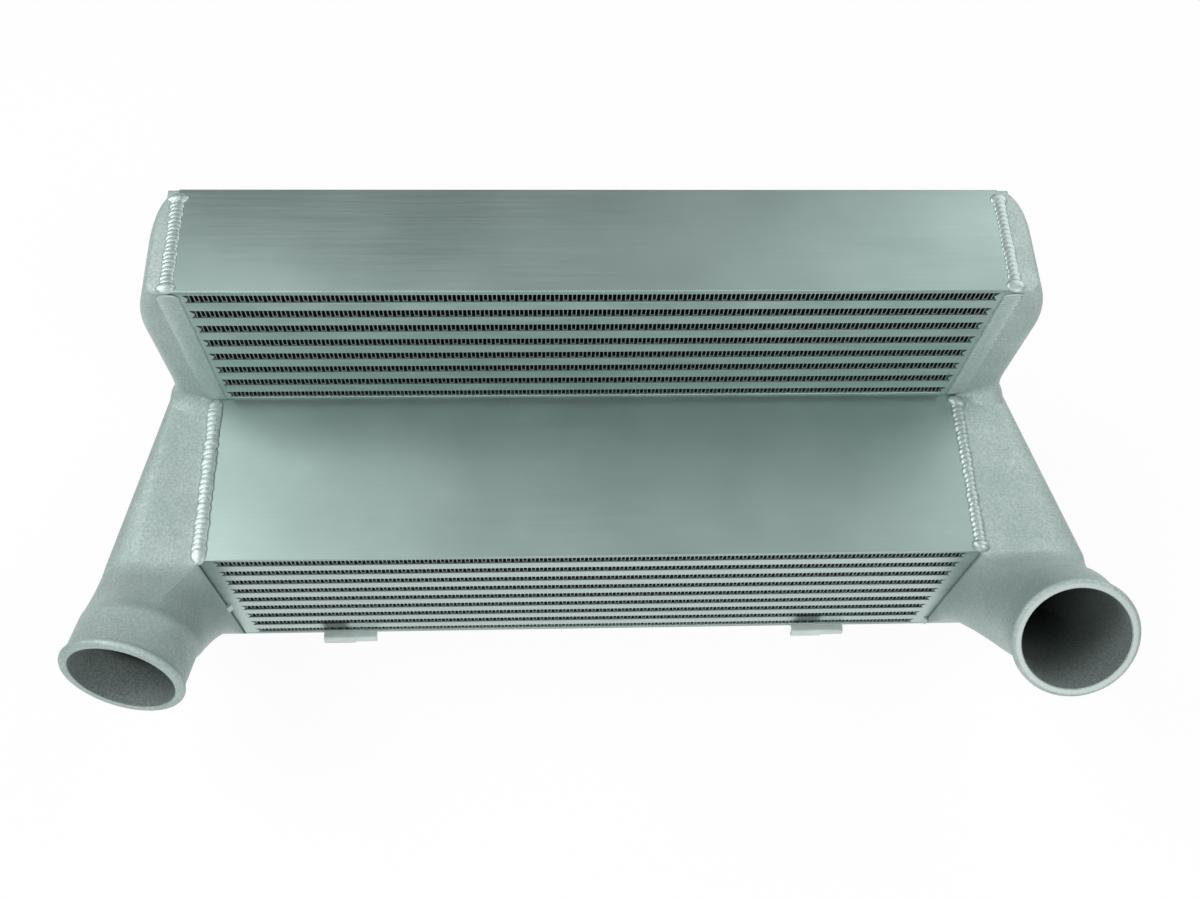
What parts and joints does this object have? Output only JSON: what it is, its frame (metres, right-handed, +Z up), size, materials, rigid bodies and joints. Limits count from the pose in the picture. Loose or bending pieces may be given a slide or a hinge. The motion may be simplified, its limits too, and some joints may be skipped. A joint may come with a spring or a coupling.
{
  "type": "stepped bar and plate intercooler",
  "caption": "Stepped bar and plate intercooler with cast end tanks, welded on, and two beaded hose ports that face forward.",
  "frame": {"origin": "middle of the underside of the bottom plate", "axes": "+X along the core, towards the tank whose port faces upward and forward; +Y from the ports towards the rear face; +Z up"},
  "size_m": [0.6732, 0.3064, 0.2948],
  "materials": {
    "rolled_aluminium": "satin rolled sheet",
    "bar_aluminium": "drawn bar, brazed",
    "fin_aluminium": "folded foil, brazed",
    "cast_aluminium": "blasted sand casting",
    "weld_metal": "rippled weld bead"
  },
  "bodies": {
    "root": {"bottom_plate": "rolled_aluminium", "step_plate": "rolled_aluminium", "upper_base_plate": "rolled_aluminium", "top_plate": "rolled_aluminium", "parting_sheets_lower": "rolled_aluminium", "parting_sheets_upper": "rolled_aluminium", "ambient_fin_lower_1": "fin_aluminium", "ambient_fin_lower_2": "fin_aluminium", "ambient_fin_lower_3": "fin_aluminium", "ambient_fin_lower_4": "fin_aluminium", "ambient_fin_lower_5": "fin_aluminium", "ambient_fin_lower_6": "fin_aluminium", "ambient_fin_lower_7": "fin_aluminium", "ambient_fin_lower_8": "fin_aluminium", "ambient_fin_lower_9": "fin_aluminium", "charge_bar_lower_1": "bar_aluminium", "charge_bar_lower_2": "bar_aluminium", "charge_bar_lower_3": "bar_aluminium", "charge_bar_lower_4": "bar_aluminium", "charge_bar_lower_5": "bar_aluminium", "charge_bar_lower_6": "bar_aluminium", "charge_bar_lower_7": "bar_aluminium", "charge_bar_lower_8": "bar_aluminium", "charge_fins_lower": "fin_aluminium", "end_bars_lower_left": "bar_aluminium", "end_bars_lower_right": "bar_aluminium", "ambient_fin_upper_1": "fin_aluminium", "ambient_fin_upper_2": "fin_aluminium", "ambient_fin_upper_3": "fin_aluminium", "ambient_fin_upper_4": "fin_aluminium", "ambient_fin_upper_5": "fin_aluminium", "ambient_fin_upper_6": "fin_aluminium", "ambient_fin_upper_7": "fin_aluminium", "ambient_fin_upper_8": "fin_aluminium", "charge_bar_upper_1": "bar_aluminium", "charge_bar_upper_2": "bar_aluminium", "charge_bar_upper_3": "bar_aluminium", "charge_bar_upper_4": "bar_aluminium", "charge_bar_upper_5": "bar_aluminium", "charge_bar_upper_6": "bar_aluminium", "charge_bar_upper_7": "bar_aluminium", "charge_fins_upper": "fin_aluminium", "end_bars_upper_left": "bar_aluminium", "end_bars_upper_right": "bar_aluminium", "left_tank": "cast_aluminium", "top_weld_left": "weld_metal", "upper_front_weld_left": "weld_metal", "step_weld_left": "weld_metal", "rear_weld_left": "weld_metal", "lower_tack_left": "weld_metal", "left_bracket": "rolled_aluminium", "right_tank": "cast_aluminium", "top_weld_right": "weld_metal", "upper_front_weld_right": "weld_metal", "step_weld_right": "weld_metal", "rear_weld_right": "weld_metal", "lower_tack_right": "weld_metal", "right_bracket": "rolled_aluminium"}
  },
  "joints": []
}
